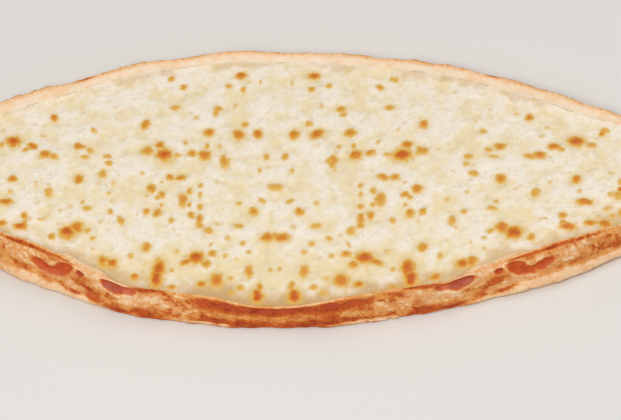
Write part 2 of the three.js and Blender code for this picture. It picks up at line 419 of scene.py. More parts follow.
def marks_at(u, up, height, ragged, marks):
    """The strongest mark of each kind at one place of a rim's face, and how far it sinks or rises."""
    found = {"blister": 0, "band": 0, "pale": 0, "crumb": 0, "scorch": 0, "edge": 0}
    sink = 0
    for kind, along, mark_up, length, breadth, turn, strength in marks:
        dx = (u - along) * LEFT_LENGTH
        if abs(dx) > length:
            continue
        r = in_oval(dx, (up - mark_up) * height, length, breadth, turn)
        if kind in SKIN_MARKS:
            fray, depth, raised = SKIN_MARKS[kind]
            inside = 1 - ease(0.82, 1.05, r + fray * ragged)
            sink = min(sink, -depth * (1 - ease(0.45, 1.05, r)))
            found["edge"] = max(found["edge"], raised * math.exp(-((r - 1.2) / 0.16) ** 2))
            if inside > found["blister"]:
                found["blister"] = inside
                found["scorch"] = strength
        else:
            found[kind] = max(found[kind], strength * (1 - ease(0.45, 1.2, r + 0.5 * ragged)))
    found["edge"] *= 1 - found["blister"]
    return found, sink + EDGE_RISE * found["edge"]


print("mark test:", marks_at(0.475, 0.61, 16, 0, NEAR_MARKS)[0])

# %% [markdown]
# The crust gets its shape in two passes. First the sections are lofted from the formulas. Then every
# vertex moves along its normal by lumps, blisters and crumbs, and four values are stored on it for the
# material: how browned it is, how much smooth blister skin it has, how floury and how crumbly it is.

# %% The crust's sections
CRUST_STEPS = 280
NOSE_LEVEL = 0.42


def crust_section(x):
    """The closed ring of one section, drawn together to a rounded nose at the tips."""
    far = half_section(rim_at(x, FAR))
    near = half_section(rim_at(x, NEAR))
    ring = [Vector((x, y, z)) for y, z, zone, t in far]
    ring += [Vector((x, -y, z)) for y, z, zone, t in reversed(near[:-1])]
    u = share_of(x)
    if u > NOSE_START:
        nose = math.sqrt(max(0, 1 - ((u - NOSE_START) / (TIP_END - NOSE_START)) ** 2))
        middle = Vector((x, 0, NOSE_LEVEL * max(p.z for p in ring)))
        ring = [middle + (p - middle) * nose for p in ring]
    return ring


zones = [(zone, t) for y, z, zone, t in half_section(rim_at(WIDEST_X, FAR))]
crust_bm = folded_grid([crust_section(x) for x in stations(CRUST_STEPS, TIP_END)])
print("crust skin:", len(crust_bm.verts), "vertices")


# %% What each place of the crust is like
# the share of the face's points that lie below the lip
LIP_START = 0.3


def near_crest_end(u):
    """1 where the near rim's crest browned less, from its shoulder almost to the tip."""
    return between(0.35, 0.4, 0.8, 0.9, u)


def outer_face(place, t, side, marks):
    """Browning, blister skin, flour, crumb and relief on a rim's outer face."""
    u = share_of(place.x)
    up = (t - LIP_START) / (1 - LIP_START)
    rim_height = 15 + 3 * ease(0.35, 0.55, u)
    broad = lumps(place, 9, 2)
    streak = lumps(Vector((0.4 * place.x, place.y, place.z)), 2.8, 3)
    fine = lumps(place + Vector((70, 0, 0)), 2.2, 3)
    found, sink = marks_at(u, up, rim_height, streak, marks)
    skin, edge = found["blister"], found["edge"]
    shoulder = ease(0.34, 0.42, u)
    lip_roll = math.exp(-((up - 0.16) / 0.11) ** 2)
    groove = math.exp(-((up - 0.36) / 0.07) ** 2)

    # browning, from the whole face down to its marks
    near = side is NEAR
    heat = 0.41 + 0.12 * broad + 0.19 * streak + 0.12 * (1 - ease(0.08, 0.2, u)) * near
    heat += (0.92 + 0.12 * streak - heat) * found["band"]
    if near:
        heat += (0.27 + 0.1 * fine - heat) * ease(0.78, 0.87, up) * (1 - ease(0.22, 0.27, u))
        heat += (0.24 + 0.1 * fine - heat) * ease(0.86, 0.96, up) * near_crest_end(u)
    else:
        # paler towards the far crest: partly its pale colour, partly painted light that lifts the shade on
        # this face turned from the key light
        heat += (0.22 + 0.12 * fine - heat) * ease(0.6, 0.8, up) * (1 - found["band"])
    heat += (0.17 + 0.1 * fine - heat) * found["pale"]
    lip_top = 0.2 + 0.07 * ease(0.43, 0.5, u)
    pale_lip = (1 - ease(lip_top, lip_top + 0.05, up + 0.05 * broad)) * shoulder
    heat += (0.15 + 0.1 * broad - heat) * pale_lip
    heat += 0.18 * ease(0.2, 0.05, up) * (1 - shoulder) * (1 - found["pale"])
    heat -= 0.16 * edge
    heat += (found["scorch"] + 0.22 * fine + 0.12 * streak - heat) * skin
    heat += 0.25 * ease(0.86, 0.98, u)

    # torn crumb with knobs and pits, and flour; the pits brown darker as painted shade and the knobs paler
    # as painted highlight
    crumb = min(1, found["crumb"] + 0.12) * (1 - skin) * (1 - 0.8 * pale_lip)
    knob = noise.noise(Vector((0.6 * place.x, place.y, place.z)) / 2.0)
    knob += 0.35 * noise.noise(place / 1.1)
    pit = max(0, -lumps(place, 2.8, 1) - 0.25)
    heat += crumb * (0.8 * pit - 0.24 * ease(0, 0.5, knob))
    flour = min(1, 0.25 * found["pale"] * (0.6 + 0.5 * fine) + 0.15 * pale_lip + 0.1 * edge)

    # relief in millimetres
    relief = (0.5 * broad + 0.25 * streak + 0.12 * fine) * (1 - 0.8 * skin)
    relief += crumb * (0.75 * knob - 1.4 * pit)
    relief += sink - 0.3 * found["band"] * (1 - skin)
    relief += shoulder * (0.75 * lip_roll - 0.8 * groove) * (1 - ease(0.8, 0.95, u))
    if not near:
        relief *= 1 - 0.7 * ease(0.7, 0.95, up)
    return heat, skin, flour, crumb, relief * ease(0, LIP_START, t)


def inner_wall(place, t, side):
    """The inside of a rim, golden along its crest and paler down to the cheese."""
    u = share_of(place.x)
    broad = lumps(place, 7, 2)
    fine = lumps(place, 2.2, 3)
    crest = 1 - ease(-0.05, 0.27 + 0.1 * broad, t)
    heat = 0.02 * fine + 0.24 * crest + 0.3 * ease(0.8, 0.95, u)
    flour = (0.2 + 0.9 * ease(0.07, 0.24, t)) * (1 - 0.6 * ease(0.78, 0.9, u))
    relief = 0.3 * broad + 0.14 * fine
    if side is NEAR:
        heat += (0.2 + 0.1 * fine) * (1 - 0.8 * near_crest_end(u))
        flour = 0.1
    else:
        relief *= 0.3 + 0.7 * ease(0, 0.3, t)
    return heat, 0, flour, 0.1, relief


def underside(place):
    """The flat base, browned in patches with flour in the hollows."""
    broad = lumps(place, 26, 2)
    small = lumps(place + Vector((0, 0, 30)), 11, 2)
    return 0.44 + 0.2 * broad + 0.14 * small, 0, 0.4 * ease(0, 0.6, small - 0.3 * broad), 0.4, 0


def dress_crust(bm):
    """Stores the four values on the vertices, and gives each one's relief in millimetres."""
    layers = new_layers(bm, "toast", "skin", "flour", "crumb")
    column = bm.verts.layers.float["column"]
    relief_of = {}
    for vert in bm.verts:
        k = round(vert[column])
        side, marks = (FAR, FAR_MARKS) if k <= HALF_RING else (NEAR, NEAR_MARKS)
        zone, t = zones[k if k <= HALF_RING else 2 * HALF_RING - k]
        if zone == "face":
            values = outer_face(vert.co, t, side, marks)
            if t < LIP_START:
                bottom = underside(vert.co)
                values = [b + (v - b) * ease(0, LIP_START, t) for v, b in zip(values, bottom)]
        elif zone == "base":
            values = underside(vert.co)
        else:
            values = inner_wall(vert.co, t if zone == "wall" else 1, side)
        narrow = min(1, rim_at(vert.co.x, side)["lip"] / 12)
        for name, value in zip(layers, values):
            vert[layers[name]] = max(0, value)
        relief_of[vert.index] = values[4] * narrow * (0 if zone == "bed" else 1)
    return relief_of


crust_bm.verts.index_update()
crust_relief = dress_crust(crust_bm)
move_out(crust_bm, lambda vert: crust_relief[vert.index])
relief_ends = (min(crust_relief.values()), max(crust_relief.values()))
print("crust relief in mm:", [round(end, 2) for end in relief_ends])

# %% The finished crust mesh
low = [min(v.co[i] for v in crust_bm.verts) for i in range(3)]
high = [max(v.co[i] for v in crust_bm.verts) for i in range(3)]
shift = Vector((-(low[0] + high[0]) / 2, -(low[1] + high[1]) / 2, 0))
for vert in crust_bm.verts:
    vert.co.z = max(0, vert.co.z)
crust = finish_piece(crust_bm, "crust_dough", shift)
print("crust moved by", [round(v, 2) for v in shift], "mm,", len(crust.data.polygons), "faces")

# %% [markdown]
# The cheese melts flat and browns where steam lifts it into bubbles. They lie in loose clusters, so
# the larger ones are listed one by one, each with its place, size, turn and how far it has browned. Past
# the last of those, a seeded draw sets more of the same kind out to the tips, and it scatters faint
# ones over the whole cheese.

# %% The browned bubbles, in millimetres from the widest place and from the centre line
# along, across, length, breadth, turn in degrees, browning
BUBBLES = [
    (16, 62, 4.5, 3.5, 0, 0.85), (7, 58, 1.5, 3.5, 0, 0.35), (15, 54, 2.5, 3, 0, 0.55),
    (19, 44, 2, 4, 0, 0.3), (14, 33, 3, 3, 0, 0.5), (17, 27, 5.5, 4.5, -35, 0.8),
    (8, 27, 4, 5, 0, 0.75), (4, 14, 2.5, 3.5, 0, 0.5), (7, 6, 2, 3.5, 0, 0.4),
    (1, -4, 5.5, 4, 0, 0.45), (6, -12, 3.5, 2.5, -30, 0.45), (17, -13, 3, 2.5, 0, 0.35),
    (10, -18, 4, 4.5, 0, 0.6), (17, -26, 4, 3, 0, 0.5), (3.2, -33, 5.6, 4.6, 0, 0.72),
    (0, -32, 3.5, 3, 0, 0.55), (15, -36, 3, 3, 0, 0.4), (12, -41, 3, 3, 0, 0.35),
    (18, -45, 2.5, 3, 0, 0.2), (2, -51, 2, 2.5, 0, 0.4), (12, -52, 3.5, 6.5, 0, 0.6),
    (16, -61, 3.5, 3.5, 0, 0.45), (7, -61, 2.5, 6, 0, 0.6), (8, -66, 4.5, 6.5, 0, 1.0),
    (22, 56, 3, 2.5, 0, 0.5), (27, 42, 4, 3.5, 0, 0.55), (28, 39, 3, 3.5, 0, 0.45),
    (31, 28, 4.5, 4, 0, 0.7), (32, 20, 2, 3.5, 0, 0.5), (26, 20, 2, 2.5, 0, 0.4),
    (39, 16, 4, 3.5, 0, 0.6), (33, 15, 5, 4.5, -20, 0.8), (24, 11, 3, 8, 8, 0.6),
    (22, 11, 2.5, 4, 0, 0.45), (35, -3, 2, 3, 0, 0.5), (35, -8, 2, 3, 0, 0.4),
    (35, -15, 2.5, 3, 0, 0.55), (39, -20, 3, 4, 0, 0.6), (35, -22, 3, 5, 0, 0.6),
    (35, -26, 3, 2.5, 0, 0.6), (31, -29, 4, 4, -20, 0.5), (22, -33, 2.5, 3, 0, 0.4),
    (30, -37, 1.5, 4, -30, 0.35), (29, -42, 4, 3.5, 0, 0.6), (23, -43, 2.5, 2.5, 0, 0.4),
    (36.5, -44.2, 6.4, 5.6, 0, 0.95), (32, -48, 4, 4, 0, 0.6), (21, -56, 3.5, 2.5, 0, 0.3),
    (27, -57, 5.5, 7, 0, 0.75), (34, -59, 4, 3, 0, 0.75), (20, -64, 4, 4.5, 0, 0.3),
    (49, 60, 3, 3.5, 0, 0.5), (43, 55, 3, 3, 0, 0.6), (47, 43, 4, 3, 0, 0.5),
    (42, 22, 2, 2.5, 0, 0.4), (54, 21, 4, 3.5, 0, 0.75), (52, 15, 6.5, 6, 0, 0.95),
    (46, 15, 4, 2.5, 0, 0.45), (49, 2, 4, 3.5, 0, 0.6), (44, 2, 4.5, 3.5, 10, 0.65),
    (53, -1, 1.5, 1.5, 0, 0.4), (58, -5, 4, 4.5, 0, 0.65), (40, -6, 2.5, 3.5, 0, 0.5),
    (53, -8, 3.5, 3, -30, 0.6), (55, -10, 2.5, 3, 0, 0.45), (43, -11, 4, 7.5, 0, 0.6),
    (53, -14, 1.5, 2.5, 0, 0.5), (40, -14, 2, 2.5, 0, 0.5), (55, -19, 3.5, 4.5, 0, 0.6),
    (48, -23, 3, 3.5, 0, 0.45), (46, -41, 4, 3.5, 0, 0.25), (41, -46.5, 6, 2.8, 27, 0.7),
    (54, -49.8, 4.8, 8.5, 0, 0.9), (48, -51, 2.5, 2.5, 0, 0.4), (55.2, -55.8, 4.4, 8, 0, 1.0),
    (48, -61, 4, 2.5, 0, 0.6), (61, 33, 3.5, 5, -20, 0.65), (60, 17, 5.5, 5, 0, 0.55),
    (79, 14, 3.5, 3, 0, 0.5), (78, 10, 3, 3, 0, 0.5), (78, -7, 2, 2.5, 0, 0.3),
    (77, -18, 2.5, 3, 0, 0.45), (60, -18, 3, 3.5, 0, 0.55), (72, -23, 3, 5, 20, 0.55),
    (60, -38, 4, 4.5, 0, 0.6), (67, -43, 2.5, 3.5, 0, 0.4), (76, -47, 4.6, 4.4, 0, 0.85),
    (65, -55, 4, 3.5, 0, 0.65), (85, 29, 3, 3, 0, 0.4), (92, 20, 5, 3.5, 0, 0.65),
    (87, 18, 3, 3, 0, 0.5), (89, 14, 4, 2.5, 0, 0.4), (81, 4, 3.5, 4.5, 0, 0.5),
    (92, 1, 4, 4.5, 0, 0.7), (98, -5, 2, 2.5, 0, 0.2), (90, -12, 2, 2.5, 0, 0.4),
    (88, -16, 4.5, 3, 0, 0.45), (92.3, -26.5, 5, 4.8, 0, 0.8), (87.6, -28.6, 3, 3, 0, 0.45),
    (97, -29.5, 6, 6, 0, 1.0), (85, -33, 2.5, 2.5, 0, 0.35), (85, -39, 2, 2.5, 0, 0.25),
    (80, -46, 4, 6, 0, 0.65), (104, 37, 3, 4, 0, 0.7), (109, 26, 3, 2.5, 0, 0.25),
    (114, 20, 4.5, 3.5, 0, 0.75), (117, 18, 3, 2.5, 0, 0.5), (108, 15, 5, 4, 10, 0.7),
    (104, 14, 4.5, 3, 10, 0.55), (112, -1, 2, 2.5, 0, 0.25), (106, -7, 3.5, 5, 0, 0.5),
    (117, -20, 3, 4, 0, 0.6), (109, -22, 4, 1.5, 0, 0.3), (117, -24, 2.5, 3, 0, 0.55),
    (119, -26, 5.5, 3.5, 0, 0.85), (104, -32, 3.5, 4, 0, 0.55), (123, 23, 6, 5, 0, 0.95),
    (129, 21, 4, 3.5, 0, 0.45), (123, 1, 4, 4, 0, 0.65), (124, -6, 3, 3, 0, 0.3),
    (126, -12, 6, 3.5, 0, 0.75), (128, -24, 4.5, 3, 0, 0.7),
]
PLACED_REACH = 131
print("bubbles placed by hand on each half:", len(BUBBLES))


# %% All bubbles of both halves
# each half's direction along X, its length, and that length in left halves
HALVES = ((-1, LEFT_LENGTH, 1), (1, RIGHT_LENGTH, RIGHT_LENGTH / LEFT_LENGTH))
WALL_SAMPLES = 40

# the bubbles at random: a margin in millimetres that they leave free, counts, and how far out they lie
BARE_MARGIN = 3
DRAWN_COUNT = 30
DRAWN_END = 0.79
FAINT_COUNT = 240
FAINT_END = 0.78


def cheese_edge(x, side):
    """How far the cheese's top reaches from the centre line, and a little into the dough."""
    rim = rim_at(x, side)
    wall = (wall_at(rim, i / WALL_SAMPLES) for i in range(WALL_SAMPLES + 1))
    return next((y for y, z in wall if z < EDGE_LEVEL), rim["inner"]) + CLING


def drawn_bubble(first_x, last_x, sizes, squeeze, turn, browning, stretch=1):
    """A bubble at random, with sizes, squeeze and browning each given as (lowest, highest)."""
    x = random.uniform(first_x, last_x)
    side = random.choice((NEAR, FAR))
    y = side["sign"] * random.random() * max(0, cheese_edge(x, side) - BARE_MARGIN)
    size = random.uniform(*sizes)
    return (x, y, size * stretch, size * random.uniform(*squeeze), random.uniform(-turn, turn),
            random.uniform(*browning))


def all_bubbles():
    found = []
    for direction, half, stretch in HALVES:
        for along, across, length, breadth, turn, browning in BUBBLES:
            x = WIDEST_X + direction * stretch * along
            found.append((x, across, stretch * length, breadth, -direction * turn, browning))
        first = WIDEST_X + direction * (PLACED_REACH * stretch + 2)
        last = WIDEST_X + direction * DRAWN_END * half
        for _ in range(DRAWN_COUNT):
            found.append(drawn_bubble(first, last, (2, 5), (0.7, 1.2), 40, (0.3, 0.85), stretch))
    first, last = WIDEST_X - FAINT_END * LEFT_LENGTH, WIDEST_X + FAINT_END * RIGHT_LENGTH
    for _ in range(FAINT_COUNT):
        found.append(drawn_bubble(first, last, (1.6, 3.4), (0.6, 1.3), 60, (0.07, 0.26)))
    return found


bubbles = all_bubbles()
print("bubbles in all:", len(bubbles))

# %% Bubbles sorted into bins along X, so that each place tests only the near ones
# a bin's length and a bubble's reach in millimetres, and where a halo ends in radii of its bubble
BIN = 10
BUBBLE_REACH = 12
HALO_EDGE = 2.7
bubble_bins = {}
for bubble in bubbles:
    first_bin = int((bubble[0] - BUBBLE_REACH) // BIN)
    last_bin = int((bubble[0] + BUBBLE_REACH) // BIN)
    for k in range(first_bin, last_bin + 1):
        bubble_bins.setdefault(k, []).append(bubble)


def browned_at(place, ragged):
    """Browning of the cheese at a place, with a faint halo round each bubble, and its lift."""
    heat = 0
    lift = 0
    for x, y, length, breadth, turn, browning in bubble_bins.get(int(place.x // BIN), ()):
        wobble = 0.42 * ragged * min(1, 3.6 / length)
        r = in_oval(place.x - x, place.y - y, 1.12 * length, 1.12 * breadth, turn) + wobble
        if r < HALO_EDGE:
            core, halo = 1 - ease(0.3, 1.3, r), 1 - ease(0.9, HALO_EDGE, r)
            heat = max(heat, browning * (0.76 * core + 0.24 * halo))
            size = min(1, 0.18 * (length + breadth) / 2)
            dome, dimple = 1 - ease(0.2, 1.3, r), 1 - ease(0, 0.5, r)
            lift = max(lift, size * (0.75 * dome - 0.25 * dimple))
    return heat, lift


print("browning on a dark bubble:", round(browned_at(Vector((WIDEST_X - 98, -30, 0)), 0)[0], 2))

# %% [markdown]
# The cheese is lofted as the crust was, with many columns over its top and few under it. Its edges run
# a little into the dough, as melted cheese clings to it, so no dark gap shows. It stores six values for
# its material: browning, how milky it is, oily spots that also hold painted shade in sunken pinholes,
# the rind along the dough, partly browned cheese and partly painted shade from the rim, the distance
# from the dough, and where a thin painted crease shadow shows at that distance along the far rim.

# %% The cheese's sections
CHEESE_STEPS = 270
TOP_COLUMNS = 150
UNDER_COLUMNS = 8

# how wide the strip is in which the cheese climbs the dough, in millimetres
MENISCUS_WIDTH = 1.8


def cheese_section(x):
    """The closed ring of one section, over the top and back underneath, or one point at an end."""
    u = share_of(x)
    near_reach, far_reach = cheese_edge(x, NEAR), cheese_edge(x, FAR)
    ring = []
    for k in range(TOP_COLUMNS + 1):
        even = 2 * k / TOP_COLUMNS - 1
        across = 0.8 * even + 0.2 * math.sin(even * math.pi / 2)
        bulge = 1 - across ** 2
        ripple = 0.3 * wander(3.1 * x, 5 * across) + 0.25 * wander(5.3 * x + 40 * across, 0.7)
        z = CHEESE_TOP + CHEESE_CROWN * bulge * (1 - 0.7 * ease(0.5, 0.8, u))
        z += ripple * math.sqrt(bulge) - 1.2 * ease(CHEESE_END - 0.04, CHEESE_END, u)
        reach = far_reach if across > 0 else near_reach
        z += MENISCUS * math.exp(-(1 - abs(across)) * reach / MENISCUS_WIDTH)
        ring.append(Vector((x, across * reach, z)))
    for k in range(UNDER_COLUMNS - 1):
        t = k / (UNDER_COLUMNS - 2)
        ring.append(Vector((x, far_reach - (far_reach + near_reach) * t, CHEESE_BOTTOM)))
    ring.append(ring[0].copy())
    if u >= CHEESE_END - 0.0001:
        ring = [Vector((x, 0, CHEESE_TIP_LEVEL))] * len(ring)
    return ring


cheese_bm = folded_grid([cheese_section(x) for x in stations(CHEESE_STEPS, CHEESE_END)])
print("cheese skin:", len(cheese_bm.verts), "vertices")


# %% The cheese's lumps, shreds and bubbles
def shreds(place):
    """Ridges like half-melted shreds, whose direction turns slowly over the bread."""
    turn = 2.2 * noise.noise(place / 45 + Vector((3, 9, 1)))
    c, s = math.cos(turn), math.sin(turn)
    along, across = place.x * c + place.y * s, place.y * c - place.x * s
    ridges = noise.noise(Vector((along / 7, across / 1.9, 0)))
    return ridges + 0.5 * noise.noise(Vector((across / 8, along / 2.2, 5)))


def rind_and_shade_at(place, inside, far_half, broad, small):
    """How browned the cheese is beside the dough, with painted shade from the rim's wall mixed in, where
    inside is the distance from it.
    """
    u = share_of(place.x)
    if far_half:
        rind_and_shade = 0.5 * ease(0.8, 2.4, inside) * (1 - ease(3.5, 6.5, inside + 2 * small))
        rind_and_shade *= ease(-0.3, 0.15, noise.noise(place / 22))
    else:
        toward_tip = ease(0.2, 0.4, u)
        rind_and_shade = 1 - ease(3, 15 - 4 * toward_tip, inside + 5.5 * broad + 2 * small)
        rind_and_shade *= 1 - 0.35 * toward_tip
    return max(rind_and_shade, 0.7 * ease(CHEESE_END - 0.035, CHEESE_END, u + 0.015 * small))


def dress_cheese(bm):
    """Stores the six values on the vertices, and gives each one's relief in millimetres."""
    layers = new_layers(bm, "toast", "milk", "oil_and_pit_shade", "rind_and_shade", "margin", "crease_shade")
    row, column = bm.verts.layers.float["row"], bm.verts.layers.float["column"]
    edges = [(cheese_edge(x, NEAR), cheese_edge(x, FAR)) for x in stations(CHEESE_STEPS, CHEESE_END)]
    relief_of = {}
    for vert in bm.verts:
        on_top = round(vert[column]) <= TOP_COLUMNS
        flat = Vector((vert.co.x, vert.co.y, 0))
        ragged = noise.noise(flat / 2.3) + 0.35 * noise.noise(flat / 0.9 + Vector((0, 0, 4)))
        heat, lift = browned_at(flat, ragged) if on_top else (0, 0)
        shred = shreds(flat)
        broad = lumps(flat, 14, 3)
        small = lumps(flat + Vector((0, 0, 40)), 4.2, 3)
        # pinholes sink into the cheese and are also painted darker, as shade in these recesses
        pinhole = max(0, noise.noise(flat / 2.1 + Vector((0, 0, 9))) - 0.5)
        smudge = ease(0.28, 0.7, -lumps(flat + Vector((0, 0, 80)), 3.0, 2) - 0.25 * broad)
        milk = 0.57 + 0.5 * broad + 0.35 * small + 0.1 * shred - 0.3 * ease(28, 56, -vert.co.y)
        far_half = vert.co.y > 0
        inside = edges[round(vert[row])][far_half] - abs(vert.co.y)
        vert[layers["toast"]] = heat
        vert[layers["milk"]] = clamped(milk)
        # greasy patches, plus painted shade in the sunken pinholes
        vert[layers["oil_and_pit_shade"]] = clamped(0.7 * smudge + 1.5 * pinhole)
        # the rind: cheese toasted along the dough, darkened further by painted shade from the rim's wall
        vert[layers["rind_and_shade"]] = clamped(rind_and_shade_at(flat, inside, far_half, broad, small))
        vert[layers["margin"]] = inside + 0.9 * small
        # painted crease shadow: a thin broken olive-grey line where the cheese meets the far rim
        vert[layers["crease_shade"]] = far_half * ease(-0.05, 0.2, noise.noise(flat / 8 + Vector((0, 0, 20))))
        relief = 0.36 * broad + 0.36 * small + 0.15 * shred + 0.9 * lift - 1.1 * pinhole + 0.06 * ragged
        relief_of[vert.index] = relief * ease(0.8, 3.5, inside) if on_top else 0
    return relief_of


cheese_bm.verts.index_update()
cheese_relief = dress_cheese(cheese_bm)
move_out(cheese_bm, lambda vert: cheese_relief[vert.index])
cheese = finish_piece(cheese_bm, "melted_cheese", shift)
print("cheese:", len(cheese.data.polygons), "faces")

# %% [markdown]
# Dough and cheese brown in the same way: pale, then golden, then orange-brown, then dark. So one node
# group turns a browning value into a colour, with each material's own four colours. A second group
# makes the fine crumb that is too small for the mesh, as a height for a Bump node and as a mask.

# %% Helpers for building materials
# a Mix node names its sockets alike for numbers and for colours, so the colour ones go by number
FIRST_COLOUR = 6
SECOND_COLOUR = 7
MIXED_COLOUR = 2


def linear(red, green, blue):
    """A colour picked on screen, 0 to 255, as the shader wants it."""
    channels = []
    for value in (red, green, blue):
        c = value / 255
        channels.append(c / 12.92 if c <= 0.04045 else ((c + 0.055) / 1.055) ** 2.4)
    return (*channels, 1)


def feed(tree, socket, value):
    """Gives a socket a number or a colour, or links it to another node's output."""
    if isinstance(value, (int, float, tuple)):
        socket.default_value = value
    else:
        tree.links.new(value, socket)


def fill(tree, node, **values):
    """Feeds a node's inputs by name, with _ for a space."""
    for name, value in values.items():
        feed(tree, node.inputs[name.replace("_", " ")], value)
    return node


def add(tree, kind, **values):
    """Adds a node and sets its properties, or its inputs where the name is an input's."""
    node = tree.nodes.new(kind)
    for name, value in values.items():
        if hasattr(node, name):
            setattr(node, name, value)
        else:
            fill(tree, node, **{name: value})
    return node


def maths(tree, operation, first, second):
    """A Math node on two sockets or numbers."""
    node = add(tree, "ShaderNodeMath", operation=operation)
    feed(tree, node.inputs[0], first)
    feed(tree, node.inputs[1], second)
    return node.outputs[0]


def around_zero(tree, value, strength):
    """Noise between 0 and 1 as an unevenness that swings around 0."""
    return maths(tree, "MULTIPLY", maths(tree, "SUBTRACT", value, 0.5), strength)


def blend(tree, share, first, second):
    """Mixes two colours by a share; each may be a socket or a colour."""
    node = add(tree, "ShaderNodeMix", data_type="RGBA")
    feed(tree, node.inputs["Factor"], share)
    feed(tree, node.inputs[FIRST_COLOUR], first)
    feed(tree, node.inputs[SECOND_COLOUR], second)
    return node.outputs[MIXED_COLOUR]


def ramp(tree, value, low, high):
    """0 below low, 1 above high, smooth between."""
    node = add(tree, "ShaderNodeMapRange", interpolation_type="SMOOTHSTEP")
    return fill(tree, node, Value=value, From_Min=low, From_Max=high).outputs["Result"]


print("helpers ready; white is", linear(255, 255, 255))


# %% A node group for browning
def new_group(name, inputs, outputs):
    """A node group with (name, kind, value) inputs and (name, kind) outputs, and its two end nodes."""
    group = bpy.data.node_groups.new(name, "ShaderNodeTree")
    for label, kind, value in inputs:
        group.interface.new_socket(name=label, in_out="INPUT", socket_type=kind).default_value = value
    for label, kind in outputs:
        group.interface.new_socket(name=label, in_out="OUTPUT", socket_type=kind)
    return group, group.nodes.new("NodeGroupInput"), group.nodes.new("NodeGroupOutput")


def make_browning_group():
    colours = [(label, "NodeSocketColor", (1, 1, 1, 1)) for label in ("Raw", "Golden", "Brown", "Dark")]
    group, entry, result = new_group(
        "browning", [("Heat", "NodeSocketFloat", 0.0), *colours], [("Color", "NodeSocketColor")])
    colour = entry.outputs["Raw"]
    for label, low, high in (("Golden", 0.02, 0.38), ("Brown", 0.36, 0.68), ("Dark", 0.66, 1.02)):
        colour = blend(group, ramp(group, entry.outputs["Heat"], low, high), colour, entry.outputs[label])
    fill(group, result, Color=colour)
    return group


browning = make_browning_group()
print("group", browning.name, "with", len(browning.nodes), "nodes")


# %% A node group for fine crumb
def make_crumb_group():
    group, entry, result = new_group(
        "fine_crumb",
        [("Size", "NodeSocketFloat", 1.0), ("Pitted", "NodeSocketFloat", 0.5)],
        [("Height", "NodeSocketFloat"), ("Grain", "NodeSocketFloat"), ("Pits", "NodeSocketFloat"),
         ("Mottle", "NodeSocketFloat")])
    place = add(group, "ShaderNodeTexCoord").outputs["Object"]
    scale = maths(group, "DIVIDE", 1 / MM, entry.outputs["Size"])
    grain = add(group, "ShaderNodeTexNoise", Detail=5.0, Roughness=0.6)
    cells = add(group, "ShaderNodeTexVoronoi", feature="F1")
    mottle = add(group, "ShaderNodeTexNoise", Detail=3.0, Roughness=0.55)
    for node, share in ((grain, 0.8), (cells, 0.45), (mottle, 0.16)):
        fill(group, node, Vector=place, Scale=maths(group, "MULTIPLY", scale, share))
    fray = maths(group, "MULTIPLY", grain.outputs["Fac"], 0.3)
    ragged = maths(group, "ADD", cells.outputs["Distance"], fray)
    pits = maths(group, "SUBTRACT", 1, ramp(group, ragged, 0.22, 0.42))
    pits = maths(group, "MULTIPLY", pits, entry.outputs["Pitted"])
    height = maths(group, "SUBTRACT", grain.outputs["Fac"], pits)
    fill(group, result, Height=height, Grain=grain.outputs["Fac"], Pits=pits, Mottle=mottle.outputs["Fac"])
    return group


fine_crumb = make_crumb_group()
print("group", fine_crumb.name, "with", len(fine_crumb.nodes), "nodes")

# %% [markdown]
# Baked dough is matt where it is crumbly and satin where a blister stretched it thin. Its browning
# comes from the mesh, and the groups add the finest mottling. Thin red-brown blister skin is its own
# colour, because it has a redder tone than the browned crumb.

# %% The crust material
FLOUR_WHITE = linear(252, 234, 212)


def start_material(name, **values):
    """A material, its node tree and its shader, with these values in the shader's inputs."""
    material = bpy.data.materials.new(name)
    material.use_nodes = True
    tree = material.node_tree
    return material, tree, fill(tree, tree.nodes["Principled BSDF"], **values)


def attribute(tree, name):
    return add(tree, "ShaderNodeAttribute", attribute_name=name).outputs["Fac"]


def use_group(tree, group, **values):
    """The outputs of a node group that is fed with these values."""
    node = tree.nodes.new("ShaderNodeGroup")
    node.node_tree = group
    return fill(tree, node, **values).outputs


